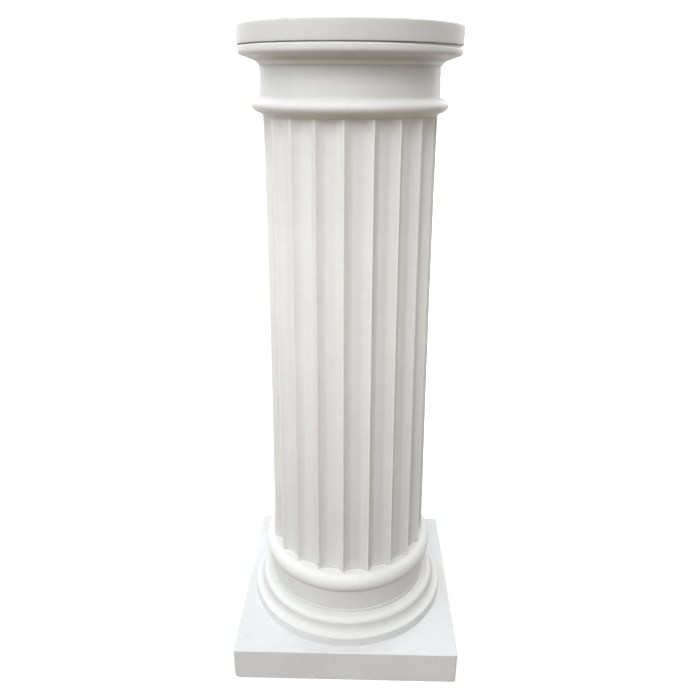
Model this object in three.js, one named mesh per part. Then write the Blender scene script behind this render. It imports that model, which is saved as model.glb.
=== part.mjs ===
// A free-standing Doric column used as a pedestal, in matt off-white painted plaster.
// Millimetres, +Z up. The origin is the middle of the underside, and the front of the plinth faces -Y.
// From the floor up: a square plinth, a round base moulding, a fluted shaft that narrows upwards,
// a capital of bead, neck and ring, and a round top disc.
import * as THREE from "three";

// Hairline joint between each piece and the one that it stands on
const BED_JOINT = 0.1;

// Plinth
const PLINTH_HEIGHT = 60.8;
const PLINTH_MARGIN = 15.1; // from the foot of the base moulding to the plinth's side
const PLINTH_CORNER_ROUND = 3;
const PLINTH_EDGE_ROUND = 1.6;

// Base moulding, from its foot up
const FOOT_BAND_HEIGHT = 16.4;
const FOOT_BAND_EDGE_ROUND = 1.2;
const HOLLOW_PROJECTION = 15.2;
const HOLLOW_HEIGHT = 16.4;
const OVOLO_PROJECTION = 14.2;
const OVOLO_HEIGHT = 10.4;
const LEDGE_WIDTH = 4;
const DRUM_HEIGHT = 47.8;
const DRUM_INSET = 9.4; // from the torus's nose back to the drum
const TORUS_PROJECTION = 14.2;
const TORUS_HALF_HEIGHT = 17.5;
const SEAT_MARGIN = 0.3; // flat seat left outside the shaft's foot

// Shaft
const FLUTE_COUNT = 20;
const FLUTE_DEPTH = 10.5; // at the foot, and it narrows with the shaft
const ARRIS_WIDTH = 1.2; // the blunt ridge between two flutes, at the foot
const SHAFT_HEIGHT = 734.4;
const SHAFT_FOOT_RADIUS = 138.4; // over the ridges
const SHAFT_HEAD_RADIUS = 129.8;
const SHAFT_FLARE = 1.35; // 1 is a straight taper, and over 1 the shaft widens faster near its foot
const SHAFT_TURN = THREE.MathUtils.degToRad(-2.2); // the shaft stands a little turned on its plinth

// Capital, from the shaft's head up
const LISTEL_HEIGHT = 2.6; // the narrow band between the flutes and the bead
const LISTEL_STEP = 0.6; // beyond the shaft's head
const BEAD_HEIGHT = 22.2;
const BEAD_PROJECTION = 12.7; // beyond the neck's foot
const NECK_STEP = 2.8; // from the shaft's head out to the neck's foot
const NECK_TAPER = 1.5; // the neck's radius is this much less at its top
const NECK_HEIGHT = 41.6;
const COLLAR_STEP = 1.2; // the small drip edge over the neck
const COLLAR_PROJECTION = 7;
const COLLAR_HEIGHT = 7.2;
const SOFFIT_PROJECTION = 21.8;
const SOFFIT_RISE = 5.3;
const RING_HEIGHT = 12.9;
const RING_LOWER_ROUND = 6.5;
const RING_UPPER_ROUND = 3;
const GROOVE_HEIGHT = 1.2;
const GROOVE_DEPTH = 8;

// Top disc
const DISC_THICKNESS = 26.4;
const DISC_OVERHANG = 1; // beyond the ring
const DISC_UPPER_ROUND = 3;
const DISC_LOWER_ROUND = 1.4;

// How finely curves are divided. three.js cuts a round arc into twice its share.
const TURN_STEPS = 48;
const FLUTE_ARC_SHARE = 4;
const SHAFT_STEPS = 4;
const PROFILE_ARC_SHARE = 3;
const QUARTER = Math.PI / 2;

// Radii and heights that follow from the sizes above
const seatRadius = SHAFT_FOOT_RADIUS + SEAT_MARGIN;
const torusNose = seatRadius + TORUS_PROJECTION;
const drumRadius = torusNose - DRUM_INSET;
const ovoloTopRadius = drumRadius + LEDGE_WIDTH;
const waistRadius = ovoloTopRadius + OVOLO_PROJECTION;
const footBandRadius = waistRadius + HOLLOW_PROJECTION;
const plinthHalf = footBandRadius + PLINTH_MARGIN;

const listelRadius = SHAFT_HEAD_RADIUS + LISTEL_STEP;
const neckFootRadius = SHAFT_HEAD_RADIUS + NECK_STEP;
const neckHeadRadius = neckFootRadius - NECK_TAPER;
const beadNose = neckFootRadius + BEAD_PROJECTION;
const collarFootRadius = neckHeadRadius + COLLAR_STEP;
const collarHeadRadius = collarFootRadius + COLLAR_PROJECTION;
const ringRadius = collarHeadRadius + SOFFIT_PROJECTION;
const discRadius = ringRadius + DISC_OVERHANG;

const paint = (color) =>
  new THREE.MeshStandardMaterial({ color, roughness: 0.62, metalness: 0 });
const plasterPaint = paint(0xe4e1dc);
const plinthPaint = paint(0xe9e7e3);

// A solid of revolution about +Z. The profile runs from the axis's foot to its head, as radius and height.
function turned(name, profile, material) {
  const geometry = new THREE.LatheGeometry(profile.getPoints(PROFILE_ARC_SHARE), TURN_STEPS);
  geometry.rotateX(QUARTER);
  const mesh = new THREE.Mesh(geometry, material);
  mesh.name = name;
  return mesh;
}

// Square slab with its corners and its top and bottom edges rounded off.
function makePlinth() {
  const inner = plinthHalf - PLINTH_CORNER_ROUND;
  const outline = new THREE.Shape();
  for (let side = 0; side < 4; side += 1) {
    const turn = side * QUARTER;
    const diagonal = turn + QUARTER / 2;
    const reach = inner * Math.SQRT2;
    const x = reach * Math.cos(diagonal);
    const y = reach * Math.sin(diagonal);
    outline.absarc(x, y, PLINTH_CORNER_ROUND, turn, turn + QUARTER, false);
  }
  const geometry = new THREE.ExtrudeGeometry(outline, {
    depth: PLINTH_HEIGHT - 2 * PLINTH_EDGE_ROUND,
    bevelThickness: PLINTH_EDGE_ROUND,
    bevelSize: PLINTH_EDGE_ROUND,
    bevelOffset: -PLINTH_EDGE_ROUND,
    bevelSegments: 2,
    curveSegments: 1,
  });
  geometry.translate(0, 0, PLINTH_EDGE_ROUND);
  const plinth = new THREE.Mesh(geometry, plinthPaint);
  plinth.name = "plinth";
  return plinth;
}

// Round base moulding: foot band, a wave of hollow and ovolo, a plain drum, and the torus under the shaft.
function makeBase(foot) {
  const profile = new THREE.Path();
  profile.moveTo(0, 0);
  profile.lineTo(footBandRadius, 0);
  profile.lineTo(footBandRadius, FOOT_BAND_HEIGHT - FOOT_BAND_EDGE_ROUND);
  profile.lineTo(footBandRadius - FOOT_BAND_EDGE_ROUND, FOOT_BAND_HEIGHT);

  const waistHeight = FOOT_BAND_HEIGHT + HOLLOW_HEIGHT;
  const hollowReach = HOLLOW_PROJECTION - FOOT_BAND_EDGE_ROUND;
  profile.absellipse(
    waistRadius + hollowReach, waistHeight, hollowReach, HOLLOW_HEIGHT, -QUARTER, -2 * QUARTER, true,
  );
  profile.absellipse(ovoloTopRadius, waistHeight, OVOLO_PROJECTION, OVOLO_HEIGHT, 0, QUARTER, false);

  const drumFoot = waistHeight + OVOLO_HEIGHT;
  const drumHead = drumFoot + DRUM_HEIGHT;
  profile.lineTo(drumRadius, drumFoot);
  profile.lineTo(drumRadius, drumHead);

  const underside = Math.acos((drumRadius - seatRadius) / TORUS_PROJECTION);
  const torusMiddle = drumHead + TORUS_HALF_HEIGHT * Math.sin(underside);
  profile.absellipse(
    seatRadius, torusMiddle, TORUS_PROJECTION, TORUS_HALF_HEIGHT, -underside, 0, false,
  );
  profile.absellipse(seatRadius, torusMiddle, TORUS_PROJECTION, TORUS_HALF_HEIGHT, 0, QUARTER, false);
  const seatHeight = torusMiddle + TORUS_HALF_HEIGHT;
  profile.lineTo(0, seatHeight);

  const base = turned("base", profile, plasterPaint);
  base.position.z = foot;
  return { base, seat: foot + seatHeight };
}

// The shaft's section at its foot: flutes are shallow arcs that meet at blunt ridges.
function fluteSection() {
  const pitch = (2 * Math.PI) / FLUTE_COUNT;
  const ridge = ARRIS_WIDTH / SHAFT_FOOT_RADIUS;
  const halfChord = SHAFT_FOOT_RADIUS * Math.sin((pitch - ridge) / 2);
  const chordDistance = SHAFT_FOOT_RADIUS * Math.cos((pitch - ridge) / 2);
  const arcRadius = (halfChord ** 2 + FLUTE_DEPTH ** 2) / (2 * FLUTE_DEPTH);
  const arcCentre = chordDistance - FLUTE_DEPTH + arcRadius;
  const halfArc = Math.atan2(halfChord, arcCentre - chordDistance);
  const section = new THREE.Shape();
  for (let flute = 0; flute < FLUTE_COUNT; flute += 1) {
    const middle = (flute + 0.5) * pitch;
    const inward = middle + Math.PI;
    section.absarc(
      arcCentre * Math.cos(middle), arcCentre * Math.sin(middle),
      arcRadius, inward + halfArc, inward - halfArc, true,
    );
  }
  return section;
}

// Fluted shaft. Its foot section is pushed up and drawn in towards the head, quickest near the foot.
function makeShaft(foot) {
  const geometry = new THREE.ExtrudeGeometry(fluteSection(), {
    depth: SHAFT_HEIGHT,
    steps: SHAFT_STEPS,
    bevelEnabled: false,
    curveSegments: FLUTE_ARC_SHARE,
  });
  const at = geometry.getAttribute("position");
  const headScale = SHAFT_HEAD_RADIUS / SHAFT_FOOT_RADIUS;
  for (let i = 0; i < at.count; i += 1) {
    const belowHead = 1 - at.getZ(i) / SHAFT_HEIGHT;
    const scale = headScale + (1 - headScale) * Math.max(0, belowHead) ** SHAFT_FLARE;
    at.setXY(i, at.getX(i) * scale, at.getY(i) * scale);
  }
  const shaft = new THREE.Mesh(geometry, plasterPaint);
  shaft.name = "shaft";
  shaft.rotation.z = SHAFT_TURN;
  shaft.position.z = foot;
  return shaft;
}

// Capital: listel and bead over the flutes, a plain neck, a small hollow collar, and a ring under the disc.
function makeCapital(foot) {
  const profile = new THREE.Path();
  profile.moveTo(0, 0);
  profile.lineTo(listelRadius, 0);
  profile.lineTo(listelRadius, LISTEL_HEIGHT);
  // A parabola whose middle lies on the bead's nose.
  const beadPull = (4 * beadNose - listelRadius - neckFootRadius) / 2;
  const neckFoot = LISTEL_HEIGHT + BEAD_HEIGHT;
  profile.quadraticCurveTo(beadPull, LISTEL_HEIGHT + BEAD_HEIGHT / 2, neckFootRadius, neckFoot);

  const neckHead = neckFoot + NECK_HEIGHT;
  profile.lineTo(neckHeadRadius, neckHead);
  profile.lineTo(collarFootRadius, neckHead);
  const collarHead = neckHead + COLLAR_HEIGHT;
  const collarPull = collarFootRadius + COLLAR_PROJECTION / 3;
  const collarPullHeight = neckHead + (COLLAR_HEIGHT * 2) / 3;
  profile.quadraticCurveTo(collarPull, collarPullHeight, collarHeadRadius, collarHead);

  const ringFoot = collarHead + SOFFIT_RISE;
  profile.lineTo(ringRadius - RING_LOWER_ROUND, ringFoot);
  profile.absarc(
    ringRadius - RING_LOWER_ROUND, ringFoot + RING_LOWER_ROUND, RING_LOWER_ROUND, -QUARTER, 0, false,
  );
  const ringHead = ringFoot + RING_HEIGHT;
  profile.absarc(
    ringRadius - RING_UPPER_ROUND, ringHead - RING_UPPER_ROUND, RING_UPPER_ROUND, 0, QUARTER, false,
  );
  profile.lineTo(ringRadius - GROOVE_DEPTH, ringHead);
  const head = ringHead + GROOVE_HEIGHT;
  profile.lineTo(ringRadius - GROOVE_DEPTH, head);
  profile.lineTo(0, head);

  const capital = turned("capital", profile, plasterPaint);
  capital.position.z = foot;
  return { capital, head: foot + head };
}

// Flat round top with a softened rim.
function makeTopDisc(foot) {
  const profile = new THREE.Path();
  profile.moveTo(0, 0);
  profile.lineTo(discRadius - DISC_LOWER_ROUND, 0);
  profile.lineTo(discRadius, DISC_LOWER_ROUND);
  const rimCentre = DISC_THICKNESS - DISC_UPPER_ROUND;
  profile.absarc(discRadius - DISC_UPPER_ROUND, rimCentre, DISC_UPPER_ROUND, 0, QUARTER, false);
  profile.lineTo(0, DISC_THICKNESS);
  const disc = turned("top_disc", profile, plasterPaint);
  disc.position.z = foot;
  return disc;
}

const column = new THREE.Group();
const { base, seat } = makeBase(PLINTH_HEIGHT + BED_JOINT);
const shaftFoot = seat + BED_JOINT;
const { capital, head } = makeCapital(shaftFoot + SHAFT_HEIGHT + BED_JOINT);
column.add(makePlinth(), base, makeShaft(shaftFoot), capital, makeTopDisc(head + BED_JOINT));

export default column;
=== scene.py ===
import math

import bpy
import numpy as np
from mathutils import Matrix, Vector, noise


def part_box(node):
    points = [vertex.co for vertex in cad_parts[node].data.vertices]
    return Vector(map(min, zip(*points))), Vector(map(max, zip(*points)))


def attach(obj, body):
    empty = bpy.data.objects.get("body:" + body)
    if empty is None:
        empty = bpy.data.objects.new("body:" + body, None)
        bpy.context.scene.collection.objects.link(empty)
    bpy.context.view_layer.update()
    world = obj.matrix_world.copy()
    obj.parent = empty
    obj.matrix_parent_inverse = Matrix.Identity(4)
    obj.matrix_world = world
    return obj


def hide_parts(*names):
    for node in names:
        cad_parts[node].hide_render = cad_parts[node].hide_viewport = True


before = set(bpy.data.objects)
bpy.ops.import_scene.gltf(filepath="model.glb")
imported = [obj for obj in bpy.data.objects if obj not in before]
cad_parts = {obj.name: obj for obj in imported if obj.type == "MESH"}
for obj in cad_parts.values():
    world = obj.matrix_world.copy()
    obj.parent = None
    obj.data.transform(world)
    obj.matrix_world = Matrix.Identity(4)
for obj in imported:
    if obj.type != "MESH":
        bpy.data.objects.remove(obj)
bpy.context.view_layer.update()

MM = 0.001
BEDDED = 0.6 * MM  # how far a piece is let into the one below, so that no gap shows between them
COVERED_REACH = 20 * MM  # how far in from its edge a face is drawn that another piece covers
LONGEST_STRETCH = 4 * MM  # between two points of a turned outline

# Camera, as the photograph was taken. Angles in degrees, places in metres.
CAMERA_FROM_AXIS = 1.0603
CAMERA_HEIGHT = 0.9735
CAMERA_BEARING = 1.238  # round from the plinth's front, towards its right side
CAMERA_HEADING = 1.125  # turned left of the plinth's own front-to-back line
CAMERA_PITCH = 22.151
CAMERA_ROLL = 0.324
CAMERA_LENS_MM = 34.6
CAMERA_SENSOR_MM = 36

# Plinth
PLINTH_CORNER_ROUND = 3.4 * MM
PLINTH_EDGE_ROUND = 1.5 * MM
PLINTH_EDGE_STRETCH = 2.5 * MM
PLINTH_SHARPEST_CORNER = 0.2 * MM
PLINTH_POINTS_PER_SIDE = 190
PLINTH_TOP_RINGS = 60

# Base moulding
FOOT_BAND_HEIGHT = 16.4 * MM
HOLLOW_PROJECTION = 15.2 * MM
HOLLOW_HEIGHT = 16.4 * MM
OVOLO_PROJECTION = 14.2 * MM
OVOLO_HEIGHT = 10.4 * MM
LEDGE_WIDTH = 4 * MM
DRUM_HEIGHT = 47.8 * MM
DRUM_INSET = 9.4 * MM
TORUS_PROJECTION = 14.2 * MM
TORUS_HALF_HEIGHT = 17.5 * MM
BASE_ARRIS_ROUND = 0.9 * MM
BASE_FOOT_REACH = 1 * MM

# Shaft
FLUTE_COUNT = 20
FLUTE_DEPTH = 10.5 * MM
ARRIS_WIDTH = 1.2 * MM
ARRIS_ROUND = 0.4 * MM
SHAFT_FOOT_RADIUS = 138.4 * MM
SHAFT_HEAD_RADIUS = 129.8 * MM
SHAFT_FLARE = 1.35
SHAFT_TURN = math.radians(-2.2)
FLUTE_POINTS = 27
SHAFT_LEVELS = 116
SHAFT_HEAD_SHARE = 0.004  # share of the shaft's height that the closed ends of the flutes take
SHAFT_HEAD_LEVELS = 7

# Capital
LISTEL_HEIGHT = 2.6 * MM
LISTEL_STEP = 0.6 * MM
BEAD_HEIGHT = 22.2 * MM
BEAD_PULL_INSET = 3 * MM
BEAD_LOWER_PULL = 18.5 * MM
BEAD_UPPER_PULL = 18.2 * MM
NECK_STEP = 2.8 * MM
NECK_TAPER = 1.5 * MM
NECK_HEIGHT = 41.6 * MM
COLLAR_STEP = 1.2 * MM
COLLAR_PROJECTION = 7 * MM
COLLAR_HEIGHT = 7.2 * MM
SOFFIT_RISE = 5.3 * MM
RING_HEIGHT = 12.9 * MM
RING_LOWER_ROUND = 6.5 * MM
RING_UPPER_ROUND = 3 * MM
GROOVE_DEPTH = 8 * MM
GAP_WALL_STEP = 0.2 * MM
CAPITAL_FOOT_REACH = 12 * MM
CAPITAL_ARRIS_ROUND = 0.5 * MM

# Top disc
DISC_UPPER_ROUND = 3 * MM
DISC_LOWER_ROUND = 1.4 * MM
DISC_MIDDLE = 12 * MM
DISC_LONGEST_STRETCH = 6 * MM

# Details finer than the solids
FLUTE_HEAD_DROP = 1 * MM
DRUM_FOOT_STEP = 0.7 * MM
DRUM_FOOT_HEIGHT = 6.5 * MM
RING_LIFT = 0.8 * MM
RING_SAG = 3.3 * MM
RING_WAVINESS = 0.16 * MM
RING_SHORT_WAVE = 22 * MM
RING_LONG_WAVE = 60 * MM
RIM_WEAR_DEPTH = 0.35 * MM
RIM_WEAR_WIDTH = 3 * MM
RIM_WEAR_LUMPS = 12 * MM
UNEVENNESS = 0.3 * MM
SEED_STEP = 3.1
BROAD_LUMPS = 70 * MM
FINE_LUMPS = 16 * MM
# Painted highlight along the shaft's ridges: how much lighter, where it starts and how it blends in
RIDGE_HIGHLIGHT = 0.12
RIDGE_STARTS = 0.986  # share of the way out to the ridges
RIDGE_BLEND = 0.01

# Small marks on the plinth: place in mm, width and depth in mm, and how much lighter the paint is
MARK_RAGGEDNESS = 0.35
MARK_LUMPS = 2.5 * MM
PLINTH_MARKS = [
    ((-57, -192, 6), 4.5, 0.7, 0.25),
    ((-64, -192, 4), 4, 0.5, 0.15),
    ((-71, -192, 2.5), 4, 0.4, 0.1),
    ((-171.3, -158, 60.8), 7, 0.35, -0.05),
    ((-180.8, -111, 60.8), 2.6, 0.5, -0.12),
    ((-183, -99, 60.8), 2.2, 0.3, -0.06),
    ((188, -192, 1), 5, 0.8, 0.05),
    ((-192, -192, 0), 9, 2.6, 0.02),
]

# Painted light and shade: how light each piece's paint is, by height and the same all round, standing
# in for how the light falls on it, as pairs of a height in mm and a share of the paint's own colour
PAINTED_LIGHT_AND_SHADE = {
    # Plinth: painted shade on the sides, with a lighter top
    "plinth": [(0, 0.885), (59, 0.885), (60.7, 0.995)],
    # Base: painted shade on the foot band, in the hollow and on the drum; painted light on the ovolo's
    # top and on the torus
    "base": [
        (60, 0.87), (75, 0.87), (77, 1), (79, 0.98), (84, 0.88), (90, 0.84), (94.5, 0.84),
        (98.5, 0.95), (101.5, 1), (103, 0.95), (104.2, 0.88), (107, 0.9), (150, 0.9), (157, 1),
        (170, 1.03), (186, 1.03),
    ],
    # Shaft: painted light where it meets the torus and at its head under the bead, against the shade
    # there; darker towards the foot
    "shaft": [
        (185.5, 1.35), (187, 1.2), (191, 0.9), (262, 0.9), (416, 0.965), (588, 1.06), (740, 1.085),
        (876, 1.02), (900, 1.04), (912, 1.13), (919, 1.2),
    ],
    # Capital: painted shade in the crease under the collar and in the corner under the ring; painted
    # highlight on the collar and on the ring's upper edge
    "capital": [
        (920, 0.92), (930, 0.98), (943, 0.98), (948, 0.9), (960, 0.94), (985, 0.9), (986.7, 0.8),
        (988, 0.95), (990, 1.1), (992, 0.9), (994, 0.72), (996, 0.78), (999, 0.92), (1004, 0.94),
        (1009, 0.94), (1011.5, 1.02), (1013.5, 1.1),
    ],
    # Round top: painted shade, darker all over
    "top_disc": [(1013, 0.86), (1040, 0.86)],
}

# Paint. Each scale is how many lumps go to the metre, and a pair after it the least and the most.
NOISE_LOW = 0.3
NOISE_HIGH = 0.7
CLOUDS = (9, 0.975, 1.02)
SPECKS = (70, 0.985, 1.012)
SHEEN = (30, 0.5, 0.66)
BRUSH_SCALE = 12
BRUSH_LINE_SCALE = 30
BRUSH_LINE_HEIGHT = 0.15 * MM
BRUSH_LINE_STRENGTH = 0.4
PEEL_SCALE = 420
PEEL_HEIGHT = 0.12 * MM
PEEL_STRENGTH = 0.35
SPECULAR = 0.3
PLASTER_COLOUR = (0.68, 0.678, 0.662)
PLASTER_BRUSHED = (8, 8, 0.7)
PLASTER_STREAKS = 0.012
PLINTH_COLOUR = (0.68, 0.68, 0.685)
PLINTH_BRUSHED = (14, 0.6, 1)
PLINTH_STREAKS = 0.011

# Soft lamps: degrees round from the front towards the right, degrees up, power in watts and colour
LAMP_DISTANCE = 8
LAMP_SIZE = 4
LAMPS = [
    (0, 40, 290, (0.95, 1, 1.05)),
    (0, 60, 165, (1.02, 1, 0.98)),
    (-50, 40, 132, (0.97, 1, 1.05)),
    (-75, 20, 138, (0.9, 1, 1.05)),
    (140, 20, 320, (0.95, 1, 1.03)),
    (-140, 20, 260, (0.93, 1, 1.1)),
]
LAMP_AIM = Vector((0, 0, 0.55))
SKY = (0.43, 0.415, 0.39)
GROUND_NEAR_HORIZON = (0.44, 0.36, 0.29)
GROUND_BELOW = (0.26, 0.175, 0.11)
SKY_STARTS = 0.475  # on the way from straight down, 0, to straight up, 1
GROUND_DARKENS = 0.325
SKY_ON_THE_LEFT = 1.07
SKY_ON_THE_RIGHT = 0.73

# Backdrop: a floor that bends up into a far wall
BACKDROP_REACH = 40
BACKDROP_BEND = 15
BACKDROP_POINTS_AROUND = 96
FLOOR_BELOW_PLINTH = 0.2 * MM
FLOOR_COLOUR = (0.92, 0.92, 0.92, 1)
FLOOR_GLOW_NEAR = 0.12
FLOOR_GLOW_FAR = 1.0
FLOOR_GLOW_STARTS = 0.35  # metres from the column's axis
FLOOR_GLOW_FULL = 1.2


def arc(centre, radii, start, end, steps=10):
    """Points on an ellipse's arc as (radius, height), with its angles in degrees."""
    return [
        (centre[0] + radii[0] * math.cos(a), centre[1] + radii[1] * math.sin(a))
        for a in np.radians(np.linspace(start, end, steps + 1))
    ]


def bulge(start, first_pull, last_pull, end, steps=24):
    """Points on a cubic curve from start to end that leans towards its two pulls."""
    shares = np.linspace(0, 1, steps + 1)[:, None]
    start, first_pull, last_pull, end = (np.array(p) for p in (start, first_pull, last_pull, end))
    rest = 1 - shares
    points = rest**3 * start + 3 * rest**2 * shares * first_pull
    points = points + 3 * rest * shares**2 * last_pull + shares**3 * end
    return [tuple(p) for p in points]


def bow(start, pull, end, steps=12):
    """Points on a parabola from start to end that leans towards pull."""
    shares = np.linspace(0, 1, steps + 1)[:, None]
    start, pull, end = (np.array(p) for p in (start, pull, end))
    points = (1 - shares) ** 2 * start + 2 * shares * (1 - shares) * pull + shares**2 * end
    return [tuple(p) for p in points]


def softened(points, radius, sharpest=25):
    """The same outline with each corner that turns by more than sharpest degrees rounded off."""
    points = [Vector(p) for p in points]
    result = [points[0]]
    for before, here, after in zip(points, points[1:], points[2:]):
        into = here - before
        out = after - here
        if into.length < 1e-9 or out.length < 1e-9:
            continue
        if math.degrees(into.angle(out)) < sharpest:
            result.append(here)
            continue
        a = here - into.normalized() * min(radius, 0.45 * into.length)
        b = here + out.normalized() * min(radius, 0.45 * out.length)
        for share in np.linspace(0, 1, 5):
            result.append(a.lerp(here, share).lerp(here.lerp(b, share), share))
    result.append(points[-1])
    return [tuple(p) for p in result]


def spaced(points, longest):
    """The same outline with points added so that no stretch is longer than that."""
    result = [points[0]]
    for a, b in zip(points, points[1:]):
        parts = max(1, math.ceil(math.dist(a, b) / longest))
        result += [tuple(np.array(a) + (np.array(b) - a) * k / parts) for k in range(1, parts + 1)]
    return result


def skin(name, rings):
    """A closed mesh over rings of points, from its foot to its head, with a flat fan at each end."""
    rings = np.asarray(rings, float)
    count, around = rings.shape[:2]
    vertices = [tuple(p) for p in rings.reshape(-1, 3)]
    vertices.append(tuple(rings[0].mean(0)))
    vertices.append(tuple(rings[-1].mean(0)))
    foot, head = len(vertices) - 2, len(vertices) - 1
    faces = []
    for k in range(count - 1):
        for j in range(around):
            n = (j + 1) % around
            faces.append((k * around + j, k * around + n, (k + 1) * around + n, (k + 1) * around + j))
    last = (count - 1) * around
    for j in range(around):
        n = (j + 1) % around
        faces.append((foot, n, j))
        faces.append((head, last + j, last + n))
    mesh = bpy.data.meshes.new(name)
    mesh.from_pydata(vertices, [], faces)
    mesh.shade_smooth()
    mesh.update()
    piece = bpy.data.objects.new(name, mesh)
    bpy.context.scene.collection.objects.link(piece)
    return piece


def turned(name, profile, around=240):
    """A solid turned about the column's axis. The profile leaves out its two points on the axis."""
    angles = np.linspace(0, 2 * math.pi, around, endpoint=False)
    rings = [[(r * math.cos(a), r * math.sin(a), z) for a in angles] for r, z in profile]
    return skin(name, rings)


def places(piece):
    """The piece's vertices as an array."""
    flat = np.empty(len(piece.data.vertices) * 3)
    piece.data.vertices.foreach_get("co", flat)
    return flat.reshape(-1, 3)


def lumps(points, width, seed):
    """Smooth noise of about -1 to 1 at each point, with lumps of that width in metres."""
    shift = Vector((seed, -seed, 0.5 * seed))
    return np.array([noise.noise(Vector(p) / width + shift) for p in points])


def pressed_in(piece, depths):
    """Moves each vertex inwards, against its normal, by its depth in metres."""
    flat = np.empty(len(piece.data.vertices) * 3)
    piece.data.vertex_normals.foreach_get("vector", flat)
    moved = places(piece) - flat.reshape(-1, 3) * np.maximum(depths, 0)[:, None]
    piece.data.vertices.foreach_set("co", moved.ravel())
    piece.data.update()


def hand_finished(piece, depth, seed):
    """Gives the surface the slight unevenness of cast and hand-rubbed plaster."""
    points = places(piece)
    broad = lumps(points, BROAD_LUMPS, seed)
    fine = lumps(points, FINE_LUMPS, seed + 7)
    pressed_in(piece, depth * (0.5 + 0.4 * broad + 0.25 * fine))


def marked(piece, marks):
    """Presses small dents into the piece. Gives back how much lighter the paint is at each vertex."""
    points = places(piece)
    lighter = np.zeros(len(points))
    depths = np.zeros(len(points))
    for place, width, depth, change in marks:
        distance = np.linalg.norm(points - np.array(place) * MM, axis=1) / (width * MM)
        ragged = distance * (1 + MARK_RAGGEDNESS * lumps(points, MARK_LUMPS, width))
        share = np.clip(1 - ragged, 0, 1)
        share = share**2 * (3 - 2 * share)
        depths += share * depth * MM
        lighter += share * change
    pressed_in(piece, depths)
    return lighter


def toned(piece, painted_light_and_tone, lighter):
    """Stores how light the paint is at each vertex, for the paint's material to read: painted light and
    shade by height, plus the marks and the painted ridge highlight.
    """
    heights, tones = np.transpose(painted_light_and_tone)
    values = np.interp(places(piece)[:, 2], heights * MM, tones) + lighter
    layer = piece.data.attributes.new("painted_light_and_tone", "FLOAT", "POINT")
    layer.data.foreach_set("value", values)


def make_plinth():
    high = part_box("plinth")[1]
    half = high.x
    height = high.z
    flank = arc((0, PLINTH_EDGE_ROUND), (PLINTH_EDGE_ROUND, PLINTH_EDGE_ROUND), -90, 0, 5)
    flank += arc((0, height - PLINTH_EDGE_ROUND), (PLINTH_EDGE_ROUND, PLINTH_EDGE_ROUND), 0, 90, 5)
    flank = spaced([(PLINTH_EDGE_ROUND - e, z) for e, z in flank], PLINTH_EDGE_STRETCH)

    def outline(inset):
        straight = half - PLINTH_CORNER_ROUND
        bend = max(PLINTH_CORNER_ROUND - inset, PLINTH_SHARPEST_CORNER)
        reach = half - inset - bend
        points = []
        for side in range(4):
            turn = Matrix.Rotation(side * math.pi / 2, 2)
            for share in np.linspace(-1, 1, PLINTH_POINTS_PER_SIDE, endpoint=False):
                points.append(turn @ Vector((half - inset, share * straight)))
            for a in np.radians(np.linspace(0, 90, 7)[:-1]):
                points.append(turn @ Vector((reach + bend * math.cos(a), reach + bend * math.sin(a))))
        return points

    rings = [[(p.x, p.y, z) for p in outline(inset)] for inset, z in flank]
    rim = np.array(rings[-1])
    shrink = np.linspace(1, 0.02, PLINTH_TOP_RINGS)[1:, None, None]
    top = rim[None] * (shrink * np.array([1, 1, 0]) + np.array([0, 0, 1]))
    rings = np.concatenate([np.array(rings), top])
    return skin("plinth_slab", rings)


def make_base():
    low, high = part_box("base")
    foot_band = high.x
    waist = foot_band - HOLLOW_PROJECTION
    ovolo_top = waist - OVOLO_PROJECTION
    drum = ovolo_top - LEDGE_WIDTH
    torus_middle_radius = drum + DRUM_INSET - TORUS_PROJECTION
    waist_height = FOOT_BAND_HEIGHT + HOLLOW_HEIGHT
    drum_foot = waist_height + OVOLO_HEIGHT
    drum_head = drum_foot + DRUM_HEIGHT
    under = math.degrees(math.acos((drum - torus_middle_radius) / TORUS_PROJECTION))
    torus_middle = drum_head + TORUS_HALF_HEIGHT * math.sin(math.radians(under))
    profile = [(foot_band - BASE_FOOT_REACH, -BEDDED), (foot_band, -BEDDED)]
    profile += [(foot_band, FOOT_BAND_HEIGHT)]
    profile += arc((foot_band, waist_height), (HOLLOW_PROJECTION, HOLLOW_HEIGHT), 270, 180, 14)
    profile += arc((ovolo_top, waist_height), (OVOLO_PROJECTION, OVOLO_HEIGHT), 0, 90, 12)
    step_head = drum_foot + DRUM_FOOT_HEIGHT
    profile += [(drum + DRUM_FOOT_STEP, drum_foot), (drum + DRUM_FOOT_STEP, step_head)]
    profile += [(drum, step_head + DRUM_FOOT_STEP / 2), (drum, drum_head)]
    torus = (TORUS_PROJECTION, TORUS_HALF_HEIGHT)
    profile += arc((torus_middle_radius, torus_middle), torus, -under, 90, 26)
    profile += [(torus_middle_radius - COVERED_REACH, torus_middle + TORUS_HALF_HEIGHT)]
    profile = spaced(softened(profile, BASE_ARRIS_ROUND), LONGEST_STRETCH)
    return turned("base_moulding", [(r, low.z + z) for r, z in profile])


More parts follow.
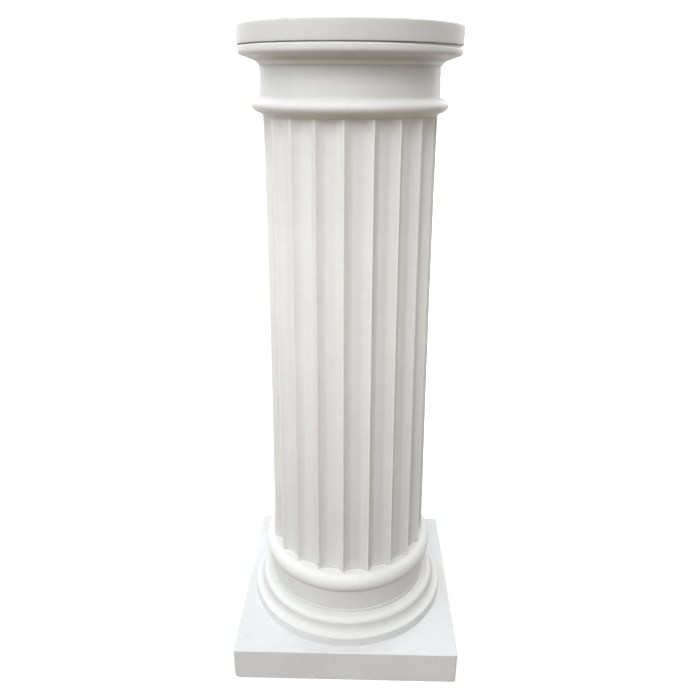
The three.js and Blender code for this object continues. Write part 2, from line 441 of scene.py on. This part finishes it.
def flute_radii(across):
    """Distance from the axis, at the shaft's foot, of points across one flute from -1 to 1."""
    pitch = 2 * math.pi / FLUTE_COUNT
    ridge = ARRIS_WIDTH / SHAFT_FOOT_RADIUS
    half_chord = SHAFT_FOOT_RADIUS * math.sin((pitch - ridge) / 2)
    chord_distance = SHAFT_FOOT_RADIUS * math.cos((pitch - ridge) / 2)
    radius = (half_chord**2 + FLUTE_DEPTH**2) / (2 * FLUTE_DEPTH)
    centre = chord_distance - FLUTE_DEPTH + radius
    angle = across * pitch / 2
    along = centre * np.cos(angle)
    hollow = along - np.sqrt(np.maximum(radius**2 - centre**2 + along**2, 0))
    blend = np.clip(0.5 + 0.5 * (SHAFT_FOOT_RADIUS - hollow) / ARRIS_ROUND, 0, 1)
    return hollow * blend + SHAFT_FOOT_RADIUS * (1 - blend) - ARRIS_ROUND * blend * (1 - blend)


def shaft_scale(share):
    """Width of the shaft, against its foot, at a share of its height."""
    head_scale = SHAFT_HEAD_RADIUS / SHAFT_FOOT_RADIUS
    return head_scale + (1 - head_scale) * (1 - share) ** SHAFT_FLARE


def painted_ridge_highlight(piece):
    """Painted highlight: how much lighter the paint is along the shaft's ridges, where they catch the
    light.
    """
    low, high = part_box("shaft")
    points = places(piece)
    share = np.clip((points[:, 2] - low.z) / (high.z - low.z), 0, 1)
    outwards = np.hypot(points[:, 0], points[:, 1]) / (SHAFT_FOOT_RADIUS * shaft_scale(share))
    return RIDGE_HIGHLIGHT * np.clip((outwards - RIDGE_STARTS) / RIDGE_BLEND, 0, 1)


def make_shaft():
    low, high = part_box("shaft")
    foot = low.z - BEDDED
    height = high.z - foot
    even = np.linspace(-1, 1, FLUTE_POINTS)[:-1]
    across = 0.5 * (np.sin(even * math.pi / 2) + even)
    pitch = 2 * math.pi / FLUTE_COUNT
    angles = np.concatenate([(k + 0.5 + 0.5 * across) * pitch for k in range(FLUTE_COUNT)])
    angles += SHAFT_TURN
    section = np.tile(flute_radii(across), FLUTE_COUNT)
    even_levels = np.linspace(0, 1 - SHAFT_HEAD_SHARE, SHAFT_LEVELS)
    head_drops = np.linspace(FLUTE_HEAD_DROP, 0, SHAFT_HEAD_LEVELS)
    levels = np.concatenate([even_levels, 1 - head_drops / height])
    rings = []
    for share in levels:
        scale = shaft_scale(share)
        closed = max(0, 1 - (1 - share) * height / FLUTE_HEAD_DROP)
        radii = np.maximum(section, SHAFT_FOOT_RADIUS - (1 - closed) * FLUTE_DEPTH) * scale
        z = np.full_like(angles, foot + share * height)
        rings.append(np.stack([radii * np.cos(angles), radii * np.sin(angles), z], 1))
    return skin("fluted_shaft", rings)


def make_capital():
    low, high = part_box("capital")
    listel = SHAFT_HEAD_RADIUS + LISTEL_STEP
    neck_foot = SHAFT_HEAD_RADIUS + NECK_STEP
    neck_head = neck_foot - NECK_TAPER
    collar_foot = neck_head + COLLAR_STEP
    collar_head = collar_foot + COLLAR_PROJECTION
    ring = high.x
    neck_foot_height = LISTEL_HEIGHT + BEAD_HEIGHT
    neck_head_height = neck_foot_height + NECK_HEIGHT
    collar_head_height = neck_head_height + COLLAR_HEIGHT
    collar_pull = (collar_foot + COLLAR_PROJECTION / 3, neck_head_height + COLLAR_HEIGHT * 2 / 3)
    ring_foot = collar_head_height + SOFFIT_RISE
    ring_head = ring_foot + RING_HEIGHT + RING_LIFT
    lower, upper = RING_LOWER_ROUND, RING_UPPER_ROUND
    profile = [(listel - CAPITAL_FOOT_REACH, 0), (listel, 0), (listel, LISTEL_HEIGHT)]
    profile += bulge(
        (listel, LISTEL_HEIGHT),
        (listel + BEAD_LOWER_PULL, LISTEL_HEIGHT + BEAD_PULL_INSET),
        (neck_foot + BEAD_UPPER_PULL, neck_foot_height - BEAD_PULL_INSET),
        (neck_foot, neck_foot_height),
    )
    profile += [(neck_head, neck_head_height), (collar_foot, neck_head_height)]
    profile += bow((collar_foot, neck_head_height), collar_pull, (collar_head, collar_head_height), 8)
    profile += arc((ring - lower, ring_foot + lower), (lower, lower), -90, 0, 8)
    profile += arc((ring - upper, ring_head - upper), (upper, upper), 0, 90, 8)
    wall = ring - upper - GAP_WALL_STEP
    profile += [(wall, ring_head), (wall, high.z - low.z)]
    profile += [(ring - 2 * GROOVE_DEPTH, high.z - low.z)]
    profile = spaced(softened(profile, CAPITAL_ARRIS_ROUND), LONGEST_STRETCH)
    piece = turned("capital_moulding", [(r, low.z + z) for r, z in profile])
    points = places(piece)
    heights = points[:, 2] - low.z
    outwards = np.hypot(points[:, 0], points[:, 1])
    ring_share = np.interp(heights, [ring_foot, ring_head, high.z - low.z], [0, 1, 0])
    outside = np.clip((outwards - ring + GROOVE_DEPTH) / RING_UPPER_ROUND, 0, 1)
    rightwards = np.clip(points[:, 0] / ring, 0, 1) ** 2
    level = points * (1, 1, 0)
    wavy = lumps(level, RING_SHORT_WAVE, 5) + lumps(level, RING_LONG_WAVE, 9)
    points[:, 2] -= ring_share * outside * (RING_SAG * rightwards + RING_WAVINESS * np.maximum(wavy, 0))
    piece.data.vertices.foreach_set("co", points.ravel())
    rim = np.exp(-(((points[:, 2] - low.z - ring_foot - lower / 2) / RIM_WEAR_WIDTH) ** 2))
    pressed_in(piece, rim * outside * RIM_WEAR_DEPTH * (0.5 + lumps(points, RIM_WEAR_LUMPS, 2)))
    return piece


def make_top_disc():
    low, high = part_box("top_disc")
    radius = high.x
    thickness = high.z - low.z
    lower, upper = DISC_LOWER_ROUND, DISC_UPPER_ROUND
    profile = [(radius - COVERED_REACH, 0)]
    profile += arc((radius - lower, lower), (lower, lower), -90, 0, 5)
    profile += arc((radius - upper, thickness - upper), (upper, upper), 0, 90, 8)
    profile += [(DISC_MIDDLE, thickness)]
    profile = spaced(profile, DISC_LONGEST_STRETCH)
    return turned("round_top", [(r, low.z + z) for r, z in profile])


def added(tree, kind, sockets, **settings):
    """A new shader node. Each socket is given as a value or as another node's output."""
    node = tree.nodes.new("ShaderNode" + kind)
    for name, value in settings.items():
        setattr(node, name, value)
    for name, value in sockets.items():
        if isinstance(value, bpy.types.NodeSocket):
            tree.links.new(value, node.inputs[name])
        else:
            node.inputs[name].default_value = value
    return node


def mottle(tree, stretch, scale, low, high, detail=4):
    """Noise between low and high, in lumps of about 1/scale metres, stretched along each axis."""
    place = added(tree, "TexCoord", {}).outputs["Object"]
    stretched = added(tree, "Mapping", {"Vector": place, "Scale": stretch}).outputs["Vector"]
    grain = added(tree, "TexNoise", {"Vector": stretched, "Scale": scale, "Detail": detail})
    sockets = {"Value": grain.outputs[0], "From Min": NOISE_LOW, "From Max": NOISE_HIGH}
    sockets |= {"To Min": low, "To Max": high}
    return added(tree, "MapRange", sockets).outputs["Result"]


def product(tree, *factors):
    """The outputs multiplied together."""
    result = factors[0]
    for factor in factors[1:]:
        step = added(tree, "Math", {}, operation="MULTIPLY")
        tree.links.new(result, step.inputs[0])
        tree.links.new(factor, step.inputs[1])
        result = step.outputs[0]
    return result


def paint(name, colour, brushed, strength):
    """Matt off-white paint: faintly mottled, brushed one way, a little uneven in its sheen."""
    material = bpy.data.materials.new(name)
    material.use_nodes = True
    tree = material.node_tree
    shader = tree.nodes["Principled BSDF"]
    even = (1, 1, 1)
    # The colour follows the painted light and shade stored at each vertex, times random mottle and
    # brush streaks
    painted_light_and_tone = product(
        tree,
        added(tree, "Attribute", {}, attribute_name="painted_light_and_tone").outputs["Fac"],
        mottle(tree, even, *CLOUDS),
        mottle(tree, even, *SPECKS),
        mottle(tree, brushed, BRUSH_SCALE, 1 - strength, 1 + 0.6 * strength),
    )
    tint = added(tree, "CombineColor", {"Red": painted_light_and_tone, "Green": painted_light_and_tone, "Blue": painted_light_and_tone})
    coloured = added(tree, "Mix", {}, data_type="RGBA", blend_type="MULTIPLY")
    coloured.inputs[0].default_value = 1
    tree.links.new(tint.outputs[0], coloured.inputs[6])
    coloured.inputs[7].default_value = (*colour, 1)
    tree.links.new(coloured.outputs[2], shader.inputs["Base Color"])
    tree.links.new(mottle(tree, even, *SHEEN), shader.inputs["Roughness"])
    shader.inputs["Specular IOR Level"].default_value = SPECULAR
    orange_peel = mottle(tree, even, PEEL_SCALE, 0, 1, 3)
    brush_lines = mottle(tree, brushed, BRUSH_LINE_SCALE, 0, 1)
    sockets = {"Height": orange_peel, "Strength": PEEL_STRENGTH, "Distance": PEEL_HEIGHT}
    fine = added(tree, "Bump", sockets)
    sockets = {"Height": brush_lines, "Strength": BRUSH_LINE_STRENGTH, "Distance": BRUSH_LINE_HEIGHT}
    sockets["Normal"] = fine.outputs["Normal"]
    coarse = added(tree, "Bump", sockets)
    tree.links.new(coarse.outputs["Normal"], shader.inputs["Normal"])
    return material


PIECES = {
    "plinth": (make_plinth, "plinth_paint"),
    "base": (make_base, "plaster_paint"),
    "shaft": (make_shaft, "plaster_paint"),
    "capital": (make_capital, "plaster_paint"),
    "top_disc": (make_top_disc, "plaster_paint"),
}
paints = {
    "plaster_paint": paint("plaster_paint", PLASTER_COLOUR, PLASTER_BRUSHED, PLASTER_STREAKS),
    "plinth_paint": paint("plinth_paint", PLINTH_COLOUR, PLINTH_BRUSHED, PLINTH_STREAKS),
}
for seed, (node, (make, slot)) in enumerate(PIECES.items()):
    piece = make()
    hand_finished(piece, UNEVENNESS, SEED_STEP * seed)
    lighter = marked(piece, PLINTH_MARKS if node == "plinth" else [])
    # The shaft also gets a painted highlight along its ridges
    if node == "shaft":
        lighter += painted_ridge_highlight(piece)
    # Painted light and shade by height, with the marks and the ridge highlight added
    toned(piece, PAINTED_LIGHT_AND_SHADE[node], lighter)
    piece.data.materials.append(paints[slot])
    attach(piece, "root")
    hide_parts(node)


def make_floor():
    """A round white floor that bends up into a wall all round, so that no horizon shows."""
    bend_start = BACKDROP_REACH - BACKDROP_BEND
    flat = [(r, 0) for r in (0.5, 1, 2, 4, 8, 16, bend_start)]
    bend = arc((bend_start, BACKDROP_BEND), (BACKDROP_BEND, BACKDROP_BEND), -90, 0, 12)
    outline = flat + bend[1:] + [(BACKDROP_REACH, 2 * BACKDROP_REACH)]
    around = BACKDROP_POINTS_AROUND
    angles = np.linspace(0, 2 * math.pi, around, endpoint=False)
    vertices = [(r * math.cos(a), r * math.sin(a), z) for r, z in outline for a in angles]
    faces = [tuple(range(around))]
    for k in range(len(outline) - 1):
        for j in range(around):
            n = (j + 1) % around
            faces.append((k * around + j, (k + 1) * around + j, (k + 1) * around + n, k * around + n))
    mesh = bpy.data.meshes.new("floor")
    mesh.from_pydata(vertices, [], faces)
    mesh.shade_smooth()
    floor = bpy.data.objects.new("floor", mesh)
    floor.location.z = -FLOOR_BELOW_PLINTH
    floor.visible_diffuse = False
    bpy.context.scene.collection.objects.link(floor)
    material = bpy.data.materials.new("floor")
    material.use_nodes = True
    tree = material.node_tree
    place = added(tree, "TexCoord", {}).outputs["Object"]
    away = added(tree, "VectorMath", {}, operation="LENGTH")
    tree.links.new(place, away.inputs[0])
    sockets = {"Value": away.outputs["Value"], "From Min": FLOOR_GLOW_STARTS}
    sockets |= {"From Max": FLOOR_GLOW_FULL}
    sockets |= {"To Min": FLOOR_GLOW_NEAR, "To Max": FLOOR_GLOW_FAR}
    glow = added(tree, "MapRange", sockets).outputs["Result"]
    shader = tree.nodes["Principled BSDF"]
    shader.inputs["Base Color"].default_value = FLOOR_COLOUR
    shader.inputs["Roughness"].default_value = 0.9
    shader.inputs["Specular IOR Level"].default_value = 0.1
    shader.inputs["Emission Color"].default_value = (1, 1, 1, 1)
    tree.links.new(glow, shader.inputs["Emission Strength"])
    mesh.materials.append(material)


def make_camera():
    data = bpy.data.cameras.new("camera")
    data.lens = CAMERA_LENS_MM
    data.sensor_width = CAMERA_SENSOR_MM
    camera = bpy.data.objects.new("camera", data)
    bearing = math.radians(CAMERA_BEARING)
    place = (
        CAMERA_FROM_AXIS * math.sin(bearing),
        -CAMERA_FROM_AXIS * math.cos(bearing),
        CAMERA_HEIGHT,
    )
    camera.matrix_world = (
        Matrix.Translation(place)
        @ Matrix.Rotation(math.radians(CAMERA_HEADING), 4, "Z")
        @ Matrix.Rotation(math.radians(90 - CAMERA_PITCH), 4, "X")
        @ Matrix.Rotation(math.radians(CAMERA_ROLL), 4, "Z")
    )
    bpy.context.scene.collection.objects.link(camera)
    bpy.context.scene.camera = camera


def make_sky():
    world = bpy.data.worlds.new("studio")
    bpy.context.scene.world = world
    world.use_nodes = True
    tree = world.node_tree
    place = added(tree, "TexCoord", {}).outputs["Generated"]
    way = added(tree, "SeparateXYZ", {"Vector": place}).outputs
    sockets = {"Value": way["Z"], "From Min": -1, "From Max": 1}
    share = added(tree, "MapRange", sockets).outputs["Result"]
    sockets = {"Value": way["X"], "From Min": -1, "From Max": 1}
    sockets |= {"To Min": SKY_ON_THE_LEFT, "To Max": SKY_ON_THE_RIGHT}
    strength = added(tree, "MapRange", sockets).outputs["Result"]
    tree.links.new(strength, tree.nodes["Background"].inputs["Strength"])
    ramp = added(tree, "ValToRGB", {"Fac": share})
    stops = ramp.color_ramp.elements
    stops[0].position = 0
    stops[0].color = (*GROUND_BELOW, 1)
    stops[1].position = SKY_STARTS
    stops[1].color = (*SKY, 1)
    stops.new(GROUND_DARKENS).color = (*GROUND_NEAR_HORIZON, 1)
    tree.links.new(ramp.outputs["Color"], tree.nodes["Background"].inputs["Color"])


def make_lamps():
    for number, (round_from_front, up, power, colour) in enumerate(LAMPS):
        data = bpy.data.lights.new(f"softbox_{number}", "AREA")
        data.shape = "SQUARE"
        data.size = LAMP_SIZE
        data.energy = power
        data.color = colour
        lamp = bpy.data.objects.new(data.name, data)
        bearing = math.radians(round_from_front)
        height = math.radians(up)
        across = math.cos(height)
        way = Vector((math.sin(bearing) * across, -math.cos(bearing) * across, math.sin(height)))
        lamp.location = LAMP_AIM + LAMP_DISTANCE * way
        lamp.rotation_euler = way.to_track_quat("Z", "Y").to_euler()
        bpy.context.scene.collection.objects.link(lamp)


make_camera()
make_sky()
make_lamps()
make_floor()
bpy.context.scene.view_settings.view_transform = "Standard"
